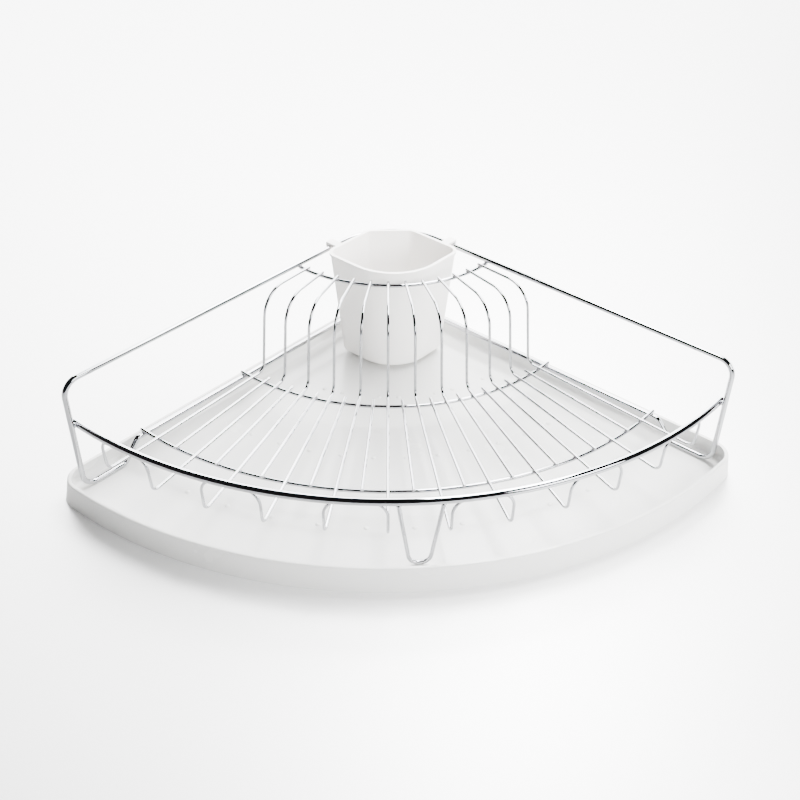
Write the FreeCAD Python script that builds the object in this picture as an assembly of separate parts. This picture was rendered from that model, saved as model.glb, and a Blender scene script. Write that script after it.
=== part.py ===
import FreeCAD, Part
import math
import os

# Corner dish rack: a fan-shaped wire rack that stands in a drip tray and carries a cutlery cup.
# Lengths are in millimetres. +Z is up and the curved front faces -Y. While the parts are drawn,
# the arcs of the rack are centred on x = 0, y = 0, and export_part then moves everything by
# fan_centre_y, so that the origin is the middle of the object's footprint, on the counter.

# --- Driving dimensions -------------------------------------------------------------------

# Wire gauges (diameters)
frame_wire = 4.5
front_rail_wire = 6.0
arc_wire = 3.2
rib_wire = 2.4
foot_wire = 3.2
weld_sink = 0.1  # how far one wire sinks into another where they are welded

# Drip tray
tray_front_low = 378.6  # outer wall in front at the counter, from the centre of the arcs
tray_front_high = 378.0  # the same at the rim
tray_side_low = 20.0  # outer side wall at the counter, outside the 45 degree lines through the centre
tray_side_high = 15.0
tray_corner_low = 16.0
tray_corner_high = 20.0
tray_height = 24.0
tray_wall = 3.2
tray_back_radius = 44.0
tray_floor_top = 8.0
tray_floor_thickness = 2.6
tray_inner_fillet = 4.0
tray_edge_fillet = 1.3
nub_rows = (143.0, 230.0, 317.0)
nub_step = 6.85  # degrees between nubs in a row
nub_count = 11
nub_radius = 2.2
nub_height = 0.8
nub_root = 0.5  # how far a nub's foot reaches into the floor

# Main frame: one closed wire, with its two straight sides on the 45 degree lines
side_apex_y = 5.5  # where the two side planes meet
side_length = 366.0  # from that corner to the front legs, along a side
rack_clearance = 0.3  # gap between the tray's floor and the wires that stand on it
top_rail_z = 110.0
lower_rail_z = 27.5
floor_run_back = 326.0  # back end of the run on the tray's floor, along a side
riser_top = 311.0
front_top_bend = 13.0
front_low_bend = 11.0
riser_bend = 5.0
back_bend = 62.0

# Arcs and front rail
outer_arc_radius = 300.0
inner_arc_radius = 189.0
upper_arc_radius = 114.0
arc_overhang = 2.5  # how far an arc's end passes the side rail that it is welded to
front_rail_z = 71.0

# Ribs (the thin wires that run out from the back like a fan)
rib_step = 3.82  # degrees between neighbouring ribs
long_rib_count = 12
short_rib_count = 11
rib_inner_end = 112.3
rib_shoulder_radius = 169.0
rib_foot_radius = 177.5
rib_shoulder_bend = 25.0
rib_foot_bend = 9.0
short_rib_start = 184.0
short_rib_end = 302.0
hook_radius = 352.5  # where a long rib turns up at the front
hook_bend = 7.0
hook_top_bend = 15.0
hook_rail_angle = 39.0  # degrees below level at which a hook's top meets the rail, on its inner side
hook_chord_rise = 0.7  # how much further out the top run's corners lie than the stretch between its bends

# Feet (U-shaped wires)
foot_top_half_width = 17.0
foot_low_half_width = 7.5
foot_bend = 9.0
foot_bend_gap = 0.5  # least straight run between the two bends of a U, each side of its middle
foot_sink = 0.05  # how far a foot's end sinks into the rail above it
back_foot_top_z = 33.0
back_foot_top_half_width = 11.0
back_foot_low_half_width = 7.0

# Cutlery cup
cup_top_z = 115.0
cup_base_z = 11.0
cup_wall = 2.0
cup_back_half_width = 20.4
cup_back_y = -27.4
cup_side_corner = 60.3  # half the distance between the sharp side corners
cup_nose_radius = 48.0
cup_side_radius = 10.0
cup_back_radius = 8.0
cup_draft = 8.5  # how far the walls lean in from rim to base
cup_least_radius = 6.5  # of the upright corners, where the draft would sharpen them
cup_base_fillet = 5.0
cup_lip_height = 2.0
cup_lip_width = 0.8
ear_width = 8.0
ear_thickness = 2.0
ear_drop = 5.0
ear_gap = 0.4
ear_root = 10.0  # from the middle of the rail inward to the ear's end in the cup's wall
ear_along = 75.5  # where the ear crosses a top rail, from the frame's back corner

# --- Derived dimensions -------------------------------------------------------------------

half_root = math.sqrt(0.5)
same_height = 0.01  # two heights closer than this count as level
fan_half_step = math.radians(rib_step)
floor_run_z = tray_floor_top + rack_clearance + frame_wire / 2
foot_run_z = tray_floor_top + rack_clearance + foot_wire / 2
floor_arc_z = lower_rail_z + (frame_wire + arc_wire) / 2 - weld_sink
floor_rib_z = floor_arc_z + (arc_wire + rib_wire) / 2 - weld_sink
upper_arc_z = top_rail_z - (frame_wire + arc_wire) / 2 + weld_sink
shoulder_z = upper_arc_z + (arc_wire + rib_wire) / 2 - weld_sink
leg_radius = math.hypot(side_length * half_root, side_length * half_root - side_apex_y)
front_rail_radius = leg_radius - (frame_wire + front_rail_wire) / 2 + weld_sink
hook_reach = (front_rail_wire + rib_wire) / 2 - weld_sink
hook_top_z = front_rail_z - hook_reach * math.sin(math.radians(hook_rail_angle))
hook_top_radius = front_rail_radius - hook_reach * math.cos(math.radians(hook_rail_angle)) + hook_chord_rise
tray_back_y = tray_side_low / half_root - tray_back_radius * (1 / half_root - 1)
fan_centre_y = (tray_front_low - tray_back_y) / 2


def vec(x, y, z=0.0):
    return FreeCAD.Vector(x, y, z)


def export_part(shape, name):
    solids = shape.Solids
    placed = solids[0] if len(solids) == 1 else Part.Compound(solids)
    placed = placed.copy()
    placed.translate(vec(0, fan_centre_y, 0))
    placed.exportStep("parts/" + name + ".step")
    print(name, "solids", len(solids), "valid", placed.isValid(), "volume", round(placed.Volume, 1))


# --- Bent wire ----------------------------------------------------------------------------


def bent_path(points, radii):
    """Straight runs between the points, with a tangent arc of the given radius at each inner point."""
    edges = []
    start = points[0]
    for index in range(1, len(points) - 1):
        corner = points[index]
        back = (points[index - 1] - corner).normalize()
        ahead = (points[index + 1] - corner).normalize()
        opening = back.getAngle(ahead)
        cut = radii[index - 1] / math.tan(opening / 2)
        middle_way = (back + ahead).normalize()
        to_middle = radii[index - 1] / math.sin(opening / 2) - radii[index - 1]
        first = corner + back * cut
        last = corner + ahead * cut
        edges.append(Part.LineSegment(start, first).toShape())
        edges.append(Part.Arc(first, corner + middle_way * to_middle, last).toShape())
        start = last
    edges.append(Part.LineSegment(start, points[-1]).toShape())
    return Part.Wire(edges)


def wire_along(path, diameter):
    """A round wire swept along a path, with square ends."""
    first_edge = path.OrderedEdges[0]
    start = first_edge.valueAt(first_edge.FirstParameter)
    direction = first_edge.tangentAt(first_edge.FirstParameter)
    if path.OrderedVertexes[0].Point.distanceToPoint(start) > 0.001:
        start = first_edge.valueAt(first_edge.LastParameter)
        direction = first_edge.tangentAt(first_edge.LastParameter)
    section = Part.Wire(Part.Circle(start, direction, diameter / 2).toShape())
    return path.makePipe(Part.Face(section))


def side_point(side, along, z):
    """A point in the vertical plane of a side, at a distance from the frame's back corner."""
    return vec(side * along * half_root, side_apex_y - along * half_root, z)


def fan_point(angle, radius, z):
    """A point on a circle about the centre of the arcs. Angle 0 is the middle of the front."""
    return vec(radius * math.sin(angle), -radius * math.cos(angle), z)


def side_angle(radius):
    """The angle at which a circle about the centre crosses the plane of a side."""
    return math.radians(45) + math.asin(side_apex_y * half_root / radius)


# --- Drip tray ----------------------------------------------------------------------------


def tray_outline(inset, z):
    """The tray's plan: two straight sides at 90 degrees, a round back corner and an arc in front.

    The walls lean between their places at the counter and at the rim."""
    share = z / tray_height
    front = tray_front_low + (tray_front_high - tray_front_low) * share - inset
    side = tray_side_low + (tray_side_high - tray_side_low) * share - inset
    corner = tray_corner_low + (tray_corner_high - tray_corner_low) * share - inset
    back = tray_back_radius - inset
    across = side - corner
    along = math.sqrt((front - corner) ** 2 - across**2)
    centre_x = (along + across) * half_root
    centre_y = (across - along) * half_root
    side_end = vec(centre_x + corner * half_root, centre_y + corner * half_root, z)
    grow = front / (front - corner)
    arc_end = vec(centre_x * grow, centre_y * grow, z)
    turn = (math.radians(45) + math.atan2(arc_end.y, arc_end.x)) / 2
    corner_middle = vec(centre_x + corner * math.cos(turn), centre_y + corner * math.sin(turn), z)
    back_centre_y = (side - back) / half_root
    side_start = vec(back * half_root, back_centre_y + back * half_root, z)

    def mirrored(point):
        return vec(-point.x, point.y, point.z)

    edges = [
        Part.LineSegment(side_start, side_end),
        Part.Arc(side_end, corner_middle, arc_end),
        Part.Arc(arc_end, vec(0, -front, z), mirrored(arc_end)),
        Part.Arc(mirrored(arc_end), mirrored(corner_middle), mirrored(side_end)),
        Part.LineSegment(mirrored(side_end), mirrored(side_start)),
        Part.Arc(mirrored(side_start), vec(0, back_centre_y + back, z), side_start),
    ]
    return Part.Wire([edge.toShape() for edge in edges])


def flat_edges(shape, z):
    """The edges of a shape that lie level at height z."""
    level = []
    for edge in shape.Edges:
        box = edge.BoundBox
        if max(abs(box.ZMin - z), abs(box.ZMax - z)) < same_height:
            level.append(edge)
    return level


def tray_nub(angle, radius):
    """A low round bump on the floor: a cap of a sphere with its foot sunk in the floor."""
    sphere_radius = (nub_radius**2 + nub_height**2) / (2 * nub_height)
    centre = fan_point(angle, radius, tray_floor_top + nub_height - sphere_radius)
    ball = Part.makeSphere(sphere_radius, centre)
    column_base = fan_point(angle, radius, tray_floor_top - nub_root)
    column = Part.makeCylinder(nub_radius, nub_root + 2 * nub_height, column_base)
    return ball.common(column)


def make_tray():
    outer = Part.makeLoft([tray_outline(0, 0), tray_outline(0, tray_height)], True, True)
    outer = outer.makeFillet(tray_edge_fillet, flat_edges(outer, tray_height))
    bowl_outlines = [tray_outline(tray_wall, tray_floor_top), tray_outline(tray_wall, tray_height)]
    bowl = Part.makeLoft(bowl_outlines, True, True)
    bowl = bowl.makeFillet(tray_inner_fillet, flat_edges(bowl, tray_floor_top))
    skirt_top = tray_floor_top - tray_floor_thickness
    recess = Part.makeLoft([tray_outline(tray_wall, 0), tray_outline(tray_wall, skirt_top)], True, True)
    shell = outer.cut(bowl).cut(recess)
    nubs = []
    for radius in nub_rows:
        for index in range(nub_count):
            angle = math.radians(nub_step) * (index - (nub_count - 1) / 2)
            nubs.append(tray_nub(angle, radius))
    return shell.fuse(nubs)


# --- Wire rack ----------------------------------------------------------------------------


def make_main_frame():
    """One closed wire: top rails, front legs, runs on the tray floor, risers and lower rails."""

    def half(side):
        return [
            side_point(side, side_length, top_rail_z),
            side_point(side, side_length, floor_run_z),
            side_point(side, floor_run_back, floor_run_z),
            side_point(side, riser_top, lower_rail_z),
        ]

    joint_right = side_point(1, side_length / 2, top_rail_z)
    joint_left = side_point(-1, side_length / 2, top_rail_z)
    back_top = side_point(1, 0, top_rail_z)
    back_low = side_point(1, 0, lower_rail_z)
    top_path = bent_path([joint_right, back_top, joint_left], [back_bend])
    side_bends = [front_top_bend, front_low_bend, riser_bend, riser_bend]
    loop_points = [joint_right] + half(1) + [back_low] + half(-1)[::-1] + [joint_left]
    loop_path = bent_path(loop_points, side_bends + [back_bend] + side_bends[::-1])
    top = wire_along(top_path, frame_wire)
    loop = wire_along(loop_path, frame_wire)
    return top.fuse(loop).removeSplitter()


def make_arc(radius, z, diameter, overhang):
    """An arc about the centre, with each end a little past the plane of a side."""
    reach = side_angle(radius) + overhang / radius
    ends_and_middle = [fan_point(angle, radius, z) for angle in (-reach, 0, reach)]
    return wire_along(Part.Wire(Part.Arc(*ends_and_middle).toShape()), diameter)


def make_long_pair(first):
    """Two long ribs made from one wire, joined by a short run under the front rail."""
    points = []
    for index in (first, first + 1):
        angle = fan_half_step * (2 * index - (long_rib_count - 1))
        rib = [
            fan_point(angle, rib_inner_end, shoulder_z),
            fan_point(angle, rib_shoulder_radius, shoulder_z),
            fan_point(angle, rib_foot_radius, floor_rib_z),
            fan_point(angle, hook_radius, floor_rib_z),
            fan_point(angle, hook_top_radius, hook_top_z),
        ]
        points += rib if index == first else rib[::-1]
    rib_bends = [rib_shoulder_bend, rib_foot_bend, hook_bend, hook_top_bend]
    return wire_along(bent_path(points, rib_bends + rib_bends[::-1]), rib_wire)


def make_short_rib(index):
    angle = 2 * fan_half_step * (index - (short_rib_count - 1) / 2)
    start = fan_point(angle, short_rib_start, floor_rib_z)
    return Part.makeCylinder(rib_wire / 2, short_rib_end - short_rib_start, start, fan_point(angle, 1, 0))


def make_foot(y, top_z, top_half_width, low_half_width):
    """A U-shaped wire in an upright plane, from a rail down to the tray's floor."""
    points = [
        vec(-top_half_width, y, top_z),
        vec(-low_half_width, y, foot_run_z),
        vec(low_half_width, y, foot_run_z),
        vec(top_half_width, y, top_z),
    ]
    # The bottom of the U is nearly a half circle: its two bends almost meet.
    lean = math.atan2(top_half_width - low_half_width, top_z - foot_run_z)
    largest = (low_half_width - foot_bend_gap) / math.tan((math.pi / 2 - lean) / 2)
    bend = min(foot_bend, largest)
    return wire_along(bent_path(points, [bend, bend]), foot_wire)


def make_front_foot():
    """The front foot butts against the front rail from below, its ends shaped to the rail."""
    foot = make_foot(-front_rail_radius, front_rail_z, foot_top_half_width, foot_low_half_width)
    rail = make_arc(front_rail_radius, front_rail_z, front_rail_wire - 2 * foot_sink, arc_overhang)
    pieces = foot.cut(rail).Solids
    return max(pieces, key=lambda piece: piece.Volume)


def make_back_foot():
    """The back foot stands against the back of the lower rail, where the rail bends."""
    low_share = (lower_rail_z - foot_run_z) / (back_foot_top_z - foot_run_z)
    widening = back_foot_top_half_width - back_foot_low_half_width
    weld_x = back_foot_low_half_width + widening * low_share
    bend_centre_y = side_apex_y - back_bend / half_root
    rail_y = bend_centre_y + math.sqrt(back_bend**2 - weld_x**2)
    foot_y = rail_y + (frame_wire + foot_wire) / 2 - weld_sink
    return make_foot(foot_y, back_foot_top_z, back_foot_top_half_width, back_foot_low_half_width)


# --- Cutlery cup --------------------------------------------------------------------------


def cup_outline(inset, z):
    """The cup's plan: a square set cornerwise, with its back corner cut off and a round nose."""
    back_half = cup_back_half_width - inset * (math.sqrt(2) - 1)
    back_y = cup_back_y - inset
    corner_x = cup_side_corner - inset / half_root
    corner_y = cup_back_y + cup_back_half_width - cup_side_corner
    front_y = corner_y - corner_x
    corners = [
        vec(back_half, back_y, z),
        vec(corner_x, corner_y, z),
        vec(0, front_y, z),
        vec(-corner_x, corner_y, z),
        vec(-back_half, back_y, z),
    ]
    radii = [cup_back_radius, cup_side_radius, cup_nose_radius, cup_side_radius, cup_back_radius]
    radii = [max(radius - inset, cup_least_radius) for radius in radii]
    back_middle = vec(0, back_y, z)
    return bent_path([back_middle] + corners + [back_middle], radii)


def make_ear(side):
    """A hook on the cup's rim that goes over a top rail and a little way down its outer side."""
    rail = side_point(side, ear_along, 0)
    outward = vec(side * half_root, half_root)
    along = vec(side * half_root, -half_root)
    top_low = top_rail_z + frame_wire / 2 + ear_gap
    reach = frame_wire / 2 + ear_gap

    def block(out_from, out_to, z_low, z_high):
        corner = rail + outward * out_from - along * (ear_width / 2)
        corner.z = z_low
        width_step = along * ear_width
        depth_step = outward * (out_to - out_from)
        base = [corner, corner + width_step, corner + width_step + depth_step, corner + depth_step, corner]
        return Part.Face(Part.makePolygon(base)).extrude(vec(0, 0, z_high - z_low))

    over = block(-ear_root, reach + ear_thickness, top_low, top_low + ear_thickness)
    down = block(reach, reach + ear_thickness, top_low + ear_thickness - ear_drop, top_low + ear_thickness)
    return over.fuse(down).removeSplitter()


def make_cup():
    height = cup_top_z - cup_base_z
    lean = cup_draft / height
    outer = Part.makeLoft([cup_outline(cup_draft, cup_base_z), cup_outline(0, cup_top_z)], True, True)
    outer = outer.makeFillet(cup_base_fillet, flat_edges(outer, cup_base_z))
    floor_z = cup_base_z + cup_wall
    hollow_low = cup_outline(cup_draft + cup_wall - lean * cup_wall, floor_z)
    hollow = Part.makeLoft([hollow_low, cup_outline(cup_wall, cup_top_z)], True, True)
    hollow = hollow.makeFillet(cup_base_fillet - cup_wall, flat_edges(hollow, floor_z))
    lip_face = Part.Face(cup_outline(-cup_lip_width, cup_top_z - cup_lip_height))
    lip = lip_face.extrude(vec(0, 0, cup_lip_height))
    body = outer.fuse(lip).fuse([make_ear(1), make_ear(-1)])
    return body.cut(hollow)


# --- Write the parts ----------------------------------------------------------------------

os.makedirs("parts", exist_ok=True)

export_part(make_tray(), "drip_tray")
export_part(make_cup(), "cutlery_cup")
export_part(make_main_frame(), "main_frame")
export_part(make_arc(front_rail_radius, front_rail_z, front_rail_wire, arc_overhang), "front_rail")
export_part(make_arc(outer_arc_radius, floor_arc_z, arc_wire, arc_overhang), "outer_floor_arc")
export_part(make_arc(inner_arc_radius, floor_arc_z, arc_wire, arc_overhang), "inner_floor_arc")
export_part(make_arc(upper_arc_radius, upper_arc_z, arc_wire, 0), "upper_arc")
export_part(make_front_foot(), "front_foot")
export_part(make_back_foot(), "back_foot")
for pair in range(long_rib_count // 2):
    export_part(make_long_pair(2 * pair), "long_rib_pair_" + str(pair + 1))
for index in range(short_rib_count):
    export_part(make_short_rib(index), "short_rib_" + str(index + 1))
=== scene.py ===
import math

import bpy
import numpy as np
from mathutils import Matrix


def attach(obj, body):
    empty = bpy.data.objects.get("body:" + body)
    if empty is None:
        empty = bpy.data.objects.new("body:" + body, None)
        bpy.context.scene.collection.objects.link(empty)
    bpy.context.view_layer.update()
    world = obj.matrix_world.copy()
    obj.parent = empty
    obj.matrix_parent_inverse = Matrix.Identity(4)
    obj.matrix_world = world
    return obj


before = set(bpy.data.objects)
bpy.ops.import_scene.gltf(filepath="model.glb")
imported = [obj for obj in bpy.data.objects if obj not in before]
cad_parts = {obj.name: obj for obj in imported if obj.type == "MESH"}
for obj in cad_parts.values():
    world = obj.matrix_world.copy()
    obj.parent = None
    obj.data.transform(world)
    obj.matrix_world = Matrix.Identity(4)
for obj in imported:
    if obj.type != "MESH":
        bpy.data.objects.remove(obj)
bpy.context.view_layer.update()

# A chromed wire dish rack for a corner, standing in a moulded drip tray, with a cutlery cup.
# Units are metres. +Z is up and the curved front faces -Y.

print("stage: frame loaded")

mm = 0.001


# Colours and shader nodes.

def linearFromHex(hexText):
    # An sRGB hex colour as linear red, green, blue and alpha 1.
    channels = [int(hexText[place:place + 2], 16) / 255 for place in (1, 3, 5)]
    linear = [c / 12.92 if c <= 0.04045 else ((c + 0.055) / 1.055) ** 2.4 for c in channels]
    return (*linear, 1.0)


def addNode(tree, kind, values, links):
    # A node with its properties, its socket values, and links from other nodes' sockets.
    node = tree.nodes.new(kind)
    for name, value in values.items():
        if hasattr(node, name):
            setattr(node, name, value)
        else:
            node.inputs[name].default_value = value
    for name, source in links.items():
        tree.links.new(source, node.inputs[name])
    return node


def newMaterial(name):
    material = bpy.data.materials.new(name)
    material.use_nodes = True
    material.node_tree.nodes.clear()
    return material, material.node_tree


# Bright nickel-chrome plating on drawn steel wire.
# A near mirror. The drawn wire under the plating leaves a faint ripple, so reflections waver a little
# along the wire, and a thin haze of handling dulls the mirror here and there.

chromeLook = {
    "colour": "#B0B1B4",
    "roughness": 0.02,
    "hazeRoughness": 0.05,
    "hazeSize": 35 * mm,
    "hazeFrom": 0.35,  # noise levels between which the haze comes in
    "hazeTo": 0.75,
    "rippleSize": 5 * mm,
    "rippleHeight": 0.0035 * mm,
}


def makeChrome():
    material, tree = newMaterial("chromePlatedWire")
    place = addNode(tree, "ShaderNodeTexCoord", {}, {}).outputs["Object"]
    haze = addNode(tree, "ShaderNodeTexNoise", {"Scale": 1 / chromeLook["hazeSize"], "Detail": 3.0},
                   {"Vector": place}).outputs["Fac"]
    roughness = addNode(tree, "ShaderNodeMapRange",
                        {"From Min": chromeLook["hazeFrom"], "From Max": chromeLook["hazeTo"],
                         "To Min": chromeLook["roughness"], "To Max": chromeLook["hazeRoughness"]},
                        {"Value": haze}).outputs["Result"]
    ripple = addNode(tree, "ShaderNodeTexNoise",
                     {"Scale": 1 / chromeLook["rippleSize"], "Detail": 1.0},
                     {"Vector": place}).outputs["Fac"]
    normal = addNode(tree, "ShaderNodeBump", {"Strength": 1.0, "Distance": chromeLook["rippleHeight"]},
                     {"Height": ripple}).outputs["Normal"]
    shader = addNode(tree, "ShaderNodeBsdfPrincipled",
                     {"Base Color": linearFromHex(chromeLook["colour"]), "Metallic": 1.0},
                     {"Roughness": roughness, "Normal": normal})
    addNode(tree, "ShaderNodeOutputMaterial", {}, {"Surface": shader.outputs["BSDF"]})
    return material


# Injection-moulded polypropylene, white.
# Slightly waxy and slightly see-through white. The mould's finish gives a soft sheen with a very fine
# grain, and large faces are never quite flat, so highlights on them wander.

polypropylene = {
    "ior": 1.49,
    "scatterDepth": 2.5 * mm,  # how far light spreads inside the wall
    "scatterTint": (1.0, 0.95, 0.9),
    "cloudFrom": 0.3,  # noise levels between which the sheen changes
    "cloudTo": 0.7,
}
mixFirst, mixSecond, mixResult = 6, 7, 2  # a Mix node's sockets for colours


def makePolypropylene(name, look):
    material, tree = newMaterial(name)
    place = addNode(tree, "ShaderNodeTexCoord", {}, {}).outputs["Object"]
    cloud = addNode(tree, "ShaderNodeTexNoise", {"Scale": 1 / look["cloudSize"], "Detail": 4.0},
                    {"Vector": place}).outputs["Fac"]
    colour = addNode(tree, "ShaderNodeMix", {"data_type": "RGBA"}, {"Factor": cloud})
    colour.inputs[mixFirst].default_value = linearFromHex(look["colour"])
    colour.inputs[mixSecond].default_value = linearFromHex(look["colourInClouds"])
    roughness = addNode(tree, "ShaderNodeMapRange",
                        {"From Min": polypropylene["cloudFrom"], "From Max": polypropylene["cloudTo"],
                         "To Min": look["roughness"],
                         "To Max": look["roughness"] + look["roughnessChange"]},
                        {"Value": cloud}).outputs["Result"]
    grain = addNode(tree, "ShaderNodeTexNoise", {"Scale": 1 / look["grainSize"], "Detail": 2.0},
                    {"Vector": place}).outputs["Fac"]
    grainNormal = addNode(tree, "ShaderNodeBump", {"Strength": 1.0, "Distance": look["grainHeight"]},
                          {"Height": grain}).outputs["Normal"]
    sink = addNode(tree, "ShaderNodeTexNoise", {"Scale": 1 / look["sinkSize"], "Detail": 1.0},
                   {"Vector": place}).outputs["Fac"]
    normal = addNode(tree, "ShaderNodeBump", {"Strength": 1.0, "Distance": look["sinkHeight"]},
                     {"Height": sink, "Normal": grainNormal}).outputs["Normal"]
    shader = addNode(tree, "ShaderNodeBsdfPrincipled",
                     {"IOR": polypropylene["ior"], "Subsurface Weight": look["subsurface"],
                      "Subsurface Scale": polypropylene["scatterDepth"],
                      "Subsurface Radius": polypropylene["scatterTint"]},
                     {"Base Color": colour.outputs[mixResult], "Roughness": roughness,
                      "Normal": normal})
    addNode(tree, "ShaderNodeOutputMaterial", {}, {"Surface": shader.outputs["BSDF"]})
    return material


trayLook = {
    "colour": "#DEDEDC",
    "colourInClouds": "#DADAD8",
    "roughness": 0.22,
    "roughnessChange": 0.06,
    "cloudSize": 60 * mm,
    "grainSize": 0.9 * mm,
    "grainHeight": 0.004 * mm,
    "sinkSize": 70 * mm,
    "sinkHeight": 0.12 * mm,
    "subsurface": 0.1,
}

cupLook = {
    "colour": "#F8F6F3",
    "colourInClouds": "#F5F2EF",
    "roughness": 0.38,
    "roughnessChange": 0.08,
    "cloudSize": 30 * mm,
    "grainSize": 0.8 * mm,
    "grainHeight": 0.006 * mm,
    "sinkSize": 40 * mm,
    "sinkHeight": 0.08 * mm,
    "subsurface": 0.15,
}

chromeWire = makeChrome()
trayPlastic = makePolypropylene("whitePolypropyleneTray", trayLook)
cupPlastic = makePolypropylene("whitePolypropyleneCup", cupLook)

for nodeName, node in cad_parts.items():
    surface = {"drip_tray": trayPlastic, "cutlery_cup": cupPlastic}.get(nodeName, chromeWire)
    node.data.materials.clear()
    node.data.materials.append(surface)
print("stage: materials on the frame")


# The rack's own measures, as far as the added details need them.

rack = {
    "fanCentreY": 184.27 * mm,  # the arcs' centre, on the line of symmetry
    "sideApexY": 5.5 * mm,  # where the side planes meet, behind the arcs' centre
    "frameWire": 4.5 * mm,
    "arcWire": 3.2 * mm,
    "ribWire": 2.4 * mm,
    "railWire": 6.0 * mm,
    "sink": 0.1 * mm,  # how deep crossing wires are pressed into each other
    "topRailZ": 110 * mm,
    "lowerRailZ": 27.5 * mm,
    "frontRailZ": 71 * mm,
    "sideLength": 366 * mm,
    "upperArcRadius": 114 * mm,
    "innerArcRadius": 189 * mm,
    "outerArcRadius": 300 * mm,
    "longRibs": 12,
    "shortRibs": 11,
    "ribStep": math.radians(3.82),  # between a long rib and the short one beside it
    "ribInnerEnd": 112.3 * mm,
    "shortRibStart": 184 * mm,
    "shortRibEnd": 302 * mm,
    "arcOverhang": 2.5 * mm,
    "footWire": 3.2 * mm,
    "frontFootWeldX": 16.5 * mm,
    "hookRailAngle": math.radians(39.0),  # how far below level the hooks meet the front rail
    "hookWeldSpread": 6.5 * mm,  # half the distance between a hook's two welds
}
slant = math.sqrt(0.5)  # sine and cosine of 45 degrees, the turn from the middle to a side
floorArcZ = rack["lowerRailZ"] + (rack["frameWire"] + rack["arcWire"]) / 2 - rack["sink"]
floorRibZ = floorArcZ + (rack["arcWire"] + rack["ribWire"]) / 2 - rack["sink"]
upperArcZ = rack["topRailZ"] - (rack["frameWire"] + rack["arcWire"]) / 2 + rack["sink"]
upperRibZ = upperArcZ + (rack["arcWire"] + rack["ribWire"]) / 2 - rack["sink"]
legAcross = rack["sideLength"] * slant
legRadius = math.hypot(legAcross, legAcross - rack["sideApexY"])
frontRailRadius = legRadius - (rack["frameWire"] + rack["railWire"]) / 2 + rack["sink"]
longAngles = rack["ribStep"] * (2 * np.arange(rack["longRibs"]) - rack["longRibs"] + 1)
pairAngles = longAngles.reshape(-1, 2).mean(axis=1)
shortAngles = rack["ribStep"] * 2 * (np.arange(rack["shortRibs"]) - rack["shortRibs"] // 2)


def fanPoints(angles, radius, z):
    # Points on a circle about the arcs' centre. Angle 0 is the middle of the front.
    angles = np.atleast_1d(angles)
    level = np.full(len(angles), z)
    return np.stack([radius * np.sin(angles), rack["fanCentreY"] - radius * np.cos(angles), level], 1)


def outward(angles):
    # Level unit vectors from the arcs' centre.
    angles = np.atleast_1d(angles)
    return np.stack([np.sin(angles), -np.cos(angles), np.zeros(len(angles))], 1)


def sideAngle(radius):
    # Where a circle about the arcs' centre crosses the plane of a side: 45 degrees, and a little more
    # because the sides meet behind that centre.
    return math.radians(45) + math.asin(rack["sideApexY"] * slant / radius)


def gridMesh(name, vertices, faces, material, body):
    # One smooth object from vertices (n x 3) and four-cornered faces (m x 4).
    mesh = bpy.data.meshes.new(name)
    mesh.vertices.add(len(vertices))
    mesh.vertices.foreach_set("co", np.ascontiguousarray(vertices, dtype=np.float32).ravel())
    mesh.loops.add(faces.size)
    mesh.loops.foreach_set("vertex_index", np.ascontiguousarray(faces, dtype=np.int32).ravel())
    mesh.polygons.add(len(faces))
    mesh.polygons.foreach_set("loop_start", np.arange(0, faces.size, 4, dtype=np.int32))
    mesh.polygons.foreach_set("use_smooth", np.ones(len(faces), dtype=bool))
    mesh.update(calc_edges=True)
    mesh.validate()
    mesh.materials.append(material)
    piece = bpy.data.objects.new(name, mesh)
    bpy.context.collection.objects.link(piece)
    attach(piece, body)
    return piece


def closedRings(count, around):
    # Faces for 'count' rings of 'around' points: a band between each ring and the next, and a strip of
    # faces across each end.
    ring, step = np.meshgrid(np.arange(count - 1), np.arange(around), indexing="ij")
    following = (step + 1) % around
    sides = np.stack([ring * around + step, ring * around + following,
                      (ring + 1) * around + following, (ring + 1) * around + step], -1).reshape(-1, 4)
    half = np.arange(around // 2 - 1)
    cap = np.stack([half, around - 1 - half, around - 2 - half, half + 1], -1)
    return np.concatenate([sides, cap, (count - 1) * around + cap[:, ::-1]])


def layRings(name, centres, axes, width, height, body):
    # One closed stack of rings at each centre. A point lies 'height' along its piece's axis from the
    # centre, and 'width' out from the axis, all round in equal turns. Both are arrays of
    # pieces x rings x points, where a length of one stands for all.
    rings, around = width.shape[1], width.shape[2]
    turn = np.arange(around) * 2 * math.pi / around
    axes = axes / np.linalg.norm(axes, axis=1, keepdims=True)
    isSteep = np.abs(axes[:, 2:]) > slant  # more than 45 degrees up or down
    first = np.cross(np.where(isSteep, [[1.0, 0.0, 0.0]], [[0.0, 0.0, 1.0]]), axes)
    first = first / np.linalg.norm(first, axis=1, keepdims=True)
    second = np.cross(axes, first)
    points = (centres[:, None, None, :]
              + (width * np.cos(turn))[..., None] * first[:, None, None, :]
              + (width * np.sin(turn))[..., None] * second[:, None, None, :]
              + height[..., None] * axes[:, None, None, :])
    starts = np.arange(len(centres)) * rings * around
    faces = closedRings(rings, around)[None] + starts[:, None, None]
    return gridMesh(name, points.reshape(-1, 3), faces.reshape(-1, 4), chromeWire, body)


# Welds: metal squeezed out where two wires were pressed together hot.

weldLook = {
    "spread": 0.62,  # half width of the bead, in diameters of the thinner wire
    "thickness": 0.30,  # half thickness, in the same measure
    "unevenness": 0.10,  # how far the bead's edge departs from a circle
    "fineLobes": 0.6,  # size of the edge's five small lobes beside its two large ones
    "turnPerWeld": 2.4,  # radians that the lobes turn from one weld to the next
    "tip": 0.94,  # share of the half thickness where the bead is closed flat
    "footSwell": 1.1,  # the front foot's welds are this much larger
    "pointsAround": 12,
    "rings": 6,
}


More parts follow.
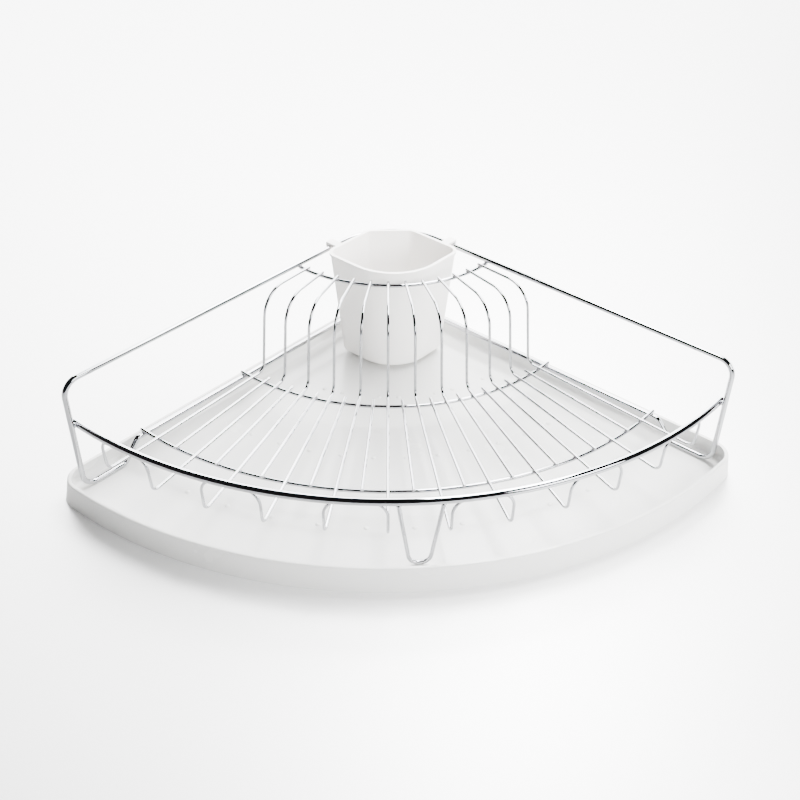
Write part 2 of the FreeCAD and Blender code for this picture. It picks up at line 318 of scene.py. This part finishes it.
def makeWelds(name, centres, axes, sizes, body):
    # A low bead at each crossing, about the line that joins the two wires' centres. Its outline is a
    # circle that swells and shrinks slightly with the angle, differently at each weld, and its
    # cross-section is a flattened ellipse, so it fills the wedge between the wires.
    turn = np.arange(weldLook["pointsAround"]) * 2 * math.pi / weldLook["pointsAround"]
    rise = np.linspace(-weldLook["tip"], weldLook["tip"], weldLook["rings"])[None, :, None]
    phase = np.arange(len(centres))[:, None] * weldLook["turnPerWeld"]
    lobes = np.sin(2 * turn + phase) + weldLook["fineLobes"] * np.sin(5 * turn - phase)
    edge = 1 + weldLook["unevenness"] * lobes
    wires = sizes[:, None, None]
    width = weldLook["spread"] * wires * np.sqrt(1 - rise ** 2) * edge[:, None, :]
    height = weldLook["thickness"] * wires * rise
    return layRings(name, centres, axes, width, height, body)


def upright(count):
    return np.tile([[0.0, 0.0, 1.0]], (count, 1))


# The ribs on the arcs.
allAngles = np.concatenate([longAngles, shortAngles])
floorArcTop = floorArcZ + rack["arcWire"] / 2
upperArcTop = upperArcZ + rack["arcWire"] / 2
for name, angles, radius, z in (("outerArcWelds", allAngles, rack["outerArcRadius"], floorArcTop),
                                ("innerArcWelds", allAngles, rack["innerArcRadius"], floorArcTop),
                                ("upperArcWelds", longAngles, rack["upperArcRadius"], upperArcTop)):
    makeWelds(name, fanPoints(angles, radius, z), upright(len(angles)),
              np.full(len(angles), rack["ribWire"]), "rack")

# The arcs on the frame wire.
lowerRailTop = rack["lowerRailZ"] + rack["frameWire"] / 2
topRailUnderside = rack["topRailZ"] - rack["frameWire"] / 2
frameWelds = np.concatenate([fanPoints([-sideAngle(radius), sideAngle(radius)], radius, z)
                             for radius, z in ((rack["outerArcRadius"], lowerRailTop),
                                               (rack["innerArcRadius"], lowerRailTop),
                                               (rack["upperArcRadius"], topRailUnderside))])
makeWelds("frameWelds", frameWelds, upright(len(frameWelds)),
          np.full(len(frameWelds), rack["arcWire"]), "rack")

# The front rail on the front legs.
legAngles = np.array([-sideAngle(legRadius), sideAngle(legRadius)])
legWelds = fanPoints(legAngles, frontRailRadius + rack["railWire"] / 2, rack["frontRailZ"])
makeWelds("frontRailWelds", legWelds, outward(legAngles), np.full(2, rack["frameWire"]), "rack")

# Each pair's top run lies against the rail's lower inner side and is welded to it twice.
hookWeldTurns = np.array([[-1.0, 1.0]]) * rack["hookWeldSpread"] / frontRailRadius
hookWeldAngles = (pairAngles[:, None] + hookWeldTurns).ravel()
hookSlope = rack["hookRailAngle"]
hookWeldWays = math.cos(hookSlope) * outward(hookWeldAngles) + [0.0, 0.0, math.sin(hookSlope)]
hookWelds = (fanPoints(hookWeldAngles, frontRailRadius, rack["frontRailZ"])
             - hookWeldWays * (rack["railWire"] / 2))
makeWelds("hookWelds", hookWelds, hookWeldWays, np.full(len(hookWelds), rack["ribWire"]), "rack")

# The front foot's two ends are butt-welded under the front rail.
frontFootX = np.array([-1.0, 1.0]) * rack["frontFootWeldX"]
frontFootWelds = np.stack([frontFootX, np.full(2, rack["fanCentreY"] - frontRailRadius),
                           np.full(2, rack["frontRailZ"] - rack["railWire"] / 2)], 1)
makeWelds("frontFootWelds", frontFootWelds, upright(2),
          np.full(2, rack["footWire"]) * weldLook["footSwell"], "rack")
print("stage: welds")


# Wire ends: cropped, then rounded by the polishing before plating.

endLook = {
    "rise": 0.42,  # height of the dome, in wire radii
    "soften": 0.75,  # how square the dome's edge is, where 1 is an ellipse
    "domeEnd": math.radians(82),  # where the dome is closed flat, short of its pole
    "pointsAround": 12,
    "rings": 4,
}


def makeWireEnds(name, centres, axes, diameters, body):
    # A low dome on each cut end: its radius follows a cosine raised to a power below one, its height
    # a sine.
    slope = np.linspace(0, endLook["domeEnd"], endLook["rings"])[None, :, None]
    radii = diameters[:, None, None] / 2
    width = radii * np.cos(slope) ** endLook["soften"] * np.ones((1, 1, endLook["pointsAround"]))
    height = radii * endLook["rise"] * np.sin(slope)
    return layRings(name, centres, axes, width, height, body)


shortInner = fanPoints(shortAngles, rack["shortRibStart"], floorRibZ)
shortOuter = fanPoints(shortAngles, rack["shortRibEnd"], floorRibZ)
longInner = fanPoints(longAngles, rack["ribInnerEnd"], upperRibZ)
ribEnds = np.concatenate([shortInner, shortOuter, longInner])
ribWays = np.concatenate([-outward(shortAngles), outward(shortAngles), -outward(longAngles)])
makeWireEnds("ribEnds", ribEnds, ribWays, np.full(len(ribEnds), rack["ribWire"]), "rack")


def arcEnds(radius, z, overhang):
    # The two ends of an arc, which passes the sides by 'overhang', and the way each end points.
    reach = sideAngle(radius) + overhang / radius
    angles = np.array([-reach, reach])
    along = np.stack([np.cos(angles), np.sin(angles), np.zeros(2)], 1) * np.array([[-1.0], [1.0]])
    return fanPoints(angles, radius, z), along


arcEndGroups = [
    (*arcEnds(rack["outerArcRadius"], floorArcZ, rack["arcOverhang"]), rack["arcWire"]),
    (*arcEnds(rack["innerArcRadius"], floorArcZ, rack["arcOverhang"]), rack["arcWire"]),
    (*arcEnds(rack["upperArcRadius"], upperArcZ, 0.0), rack["arcWire"]),
    (*arcEnds(frontRailRadius, rack["frontRailZ"], rack["arcOverhang"]), rack["railWire"]),
]
makeWireEnds("arcEnds", np.concatenate([group[0] for group in arcEndGroups]),
             np.concatenate([group[1] for group in arcEndGroups]),
             np.repeat([group[2] for group in arcEndGroups], 2), "rack")
print("stage: wire ends")


# Floor, light and camera. The floor is a wide white board whose satin lacquer shows the backdrop
# softly.

floorLook = {
    "colour": "#FFFFFF",
    "roughness": 0.5,
    "lacquer": 0.55,  # share of the light that the satin face throws back as gloss
    "size": 12.0,
    "orangePeel": 9 * mm,  # the faint unevenness that sprayed lacquer dries to
    "orangePeelHeight": 0.004 * mm,
}


def makeFloor():
    material, tree = newMaterial("whiteLacqueredBoard")
    place = addNode(tree, "ShaderNodeTexCoord", {}, {}).outputs["Object"]
    peel = addNode(tree, "ShaderNodeTexNoise",
                   {"Scale": 1 / floorLook["orangePeel"], "Detail": 1.0},
                   {"Vector": place}).outputs["Fac"]
    normal = addNode(tree, "ShaderNodeBump",
                     {"Strength": 1.0, "Distance": floorLook["orangePeelHeight"]},
                     {"Height": peel}).outputs["Normal"]
    shader = addNode(tree, "ShaderNodeBsdfPrincipled",
                     {"Base Color": linearFromHex(floorLook["colour"]),
                      "Roughness": floorLook["roughness"], "Metallic": floorLook["lacquer"]},
                     {"Normal": normal})
    addNode(tree, "ShaderNodeOutputMaterial", {}, {"Surface": shader.outputs["BSDF"]})
    half = floorLook["size"] / 2
    mesh = bpy.data.meshes.new("lacqueredFloor")
    corners = [(-half, -half, 0), (half, -half, 0), (half, half, 0), (-half, half, 0)]
    mesh.from_pydata(corners, [], [(0, 1, 2, 3)])
    mesh.materials.append(material)
    floor = bpy.data.objects.new("lacqueredFloor", mesh)
    bpy.context.collection.objects.link(floor)


makeFloor()

# The room round the object: a white backdrop stands behind it, and the rest is dark down to a low pale
# band, so the wires show dark lines. Heights and places to the side are sines of angles seen from the
# object.
roomLook = {
    "backdrop": 20.0,  # brightness
    "backdropTop": 46.0,  # degrees up from the horizon behind, over the object towards the front
    "leftEnd": 0.42,  # how far to the left the backdrop reaches
    "flagFrom": 0.42,  # a black flag hides the backdrop's upper part from here on to the right
    "flagAbove": 0.30,  # height of the flag's lower edge
    "dark": 0.02,  # brightness of the dark room
    "skirting": 1.2,  # brightness of the low pale band
    "skirtingTop": 0.04,  # height of the band
    "edge": 0.04,  # half width of every soft edge between two levels
}


def makeRoom():
    world = bpy.data.worlds.new("studio")
    bpy.context.scene.world = world
    world.use_nodes = True
    tree = world.node_tree
    tree.nodes.clear()
    way = addNode(tree, "ShaderNodeTexCoord", {}, {}).outputs["Generated"]
    parts = addNode(tree, "ShaderNodeSeparateXYZ", {}, {"Vector": way}).outputs

    def stepAt(source, limit, below, above):
        # A level that changes softly at a limit, from one amount below it to another above it.
        edge = roomLook["edge"]
        return addNode(tree, "ShaderNodeMapRange", {"From Min": limit - edge, "From Max": limit + edge,
                                                    "To Min": below, "To Max": above},
                       {"Value": source}).outputs["Result"]

    def joined(operation, first, second):
        # Two levels put through one operation of the Math node.
        return addNode(tree, "ShaderNodeMath", {"operation": operation},
                       {0: first, 1: second}).outputs[0]

    # The turn runs from 0 at the horizon behind to half a circle at the horizon in front.
    turn = joined("ARCTAN2", parts["Z"], parts["Y"])
    straightDown = -math.pi / 2
    backdrop = stepAt(turn, math.radians(roomLook["backdropTop"]), roomLook["backdrop"],
                      roomLook["dark"])
    backdrop = joined("MULTIPLY", backdrop, stepAt(turn, straightDown, 0.0, 1.0))
    skirting = stepAt(parts["Z"], roomLook["skirtingTop"], roomLook["skirting"], roomLook["dark"])
    leftOpen = stepAt(parts["X"], -roomLook["leftEnd"], 0.0, 1.0)
    flag = joined("MAXIMUM", stepAt(parts["X"], roomLook["flagFrom"], 1.0, 0.0),
                  stepAt(parts["Z"], roomLook["flagAbove"], 1.0, 0.0))
    backdrop = joined("MULTIPLY", joined("MULTIPLY", backdrop, leftOpen), flag)
    level = joined("MAXIMUM", backdrop, skirting)
    back = addNode(tree, "ShaderNodeBackground", {"Color": (1.0, 1.0, 1.0, 1.0)}, {"Strength": level})
    addNode(tree, "ShaderNodeOutputWorld", {}, {"Surface": back.outputs["Background"]})


makeRoom()

# Three soft lights, each with its place, the point it faces, its two sides and its power in watts: a
# narrow one overhead that leans to the right, a small one low on the right in front, and a fill from in
# front that lights the plastic but leaves the dark lines in the chrome.
lampLook = {
    "overheadPlace": (0.20, 0.27, 0.70),
    "overheadAim": (-0.16, 0.27, -0.23),
    "overheadSize": (0.60, 0.28),
    "overheadPower": 26.0,
    "sidePlace": (0.46, -0.46, 0.36),
    "sideAim": (0.04, -0.05, 0.05),
    "sideSize": (0.35, 0.25),
    "sidePower": 4.5,
    "fillPlace": (0.62, -1.02, 0.45),
    "fillAim": (0.0, 0.0, 0.03),
    "fillSize": (0.9, 0.5),
    "fillPower": 34.0,
    "colour": "#FFFFFF",
}


def makeLamp(name, part):
    # A rectangle of light that faces its aim: tipped back from straight down, then turned about +Z.
    place, aim = lampLook[part + "Place"], lampLook[part + "Aim"]
    light = bpy.data.lights.new(name, "AREA")
    light.shape = "RECTANGLE"
    light.size, light.size_y = lampLook[part + "Size"]
    light.energy = lampLook[part + "Power"]
    light.color = linearFromHex(lampLook["colour"])[:3]
    lamp = bpy.data.objects.new(name, light)
    bpy.context.collection.objects.link(lamp)
    lamp.location = place
    across, along, up = (a - p for a, p in zip(aim, place))
    tip = math.atan2(math.hypot(across, along), -up)
    lamp.rotation_euler = (tip, 0.0, math.atan2(along, across) - math.pi / 2)
    lamp.visible_camera = False
    return lamp


makeLamp("overheadSoftbox", "overhead")
makeLamp("sideSoftbox", "side")
fill = makeLamp("frontFill", "fill")
fill.visible_glossy = False

view = {
    "place": (-0.06463, -0.74839, 0.58423),
    "turn": (0.88559, -0.04181, -0.11319),
    "lens": 48.53,
    "sensor": 36.0,
    "shift": (-0.0656, 0.0738),
    "nearest": 0.05,
    "farthest": 30.0,
}
cameraData = bpy.data.cameras.new("camera")
cameraData.lens = view["lens"]
cameraData.sensor_width = view["sensor"]
cameraData.shift_x, cameraData.shift_y = view["shift"]
cameraData.clip_start = view["nearest"]
cameraData.clip_end = view["farthest"]
camera = bpy.data.objects.new("camera", cameraData)
camera.location = view["place"]
camera.rotation_euler = view["turn"]
bpy.context.collection.objects.link(camera)
bpy.context.scene.camera = camera
print("stage: floor, light and camera")
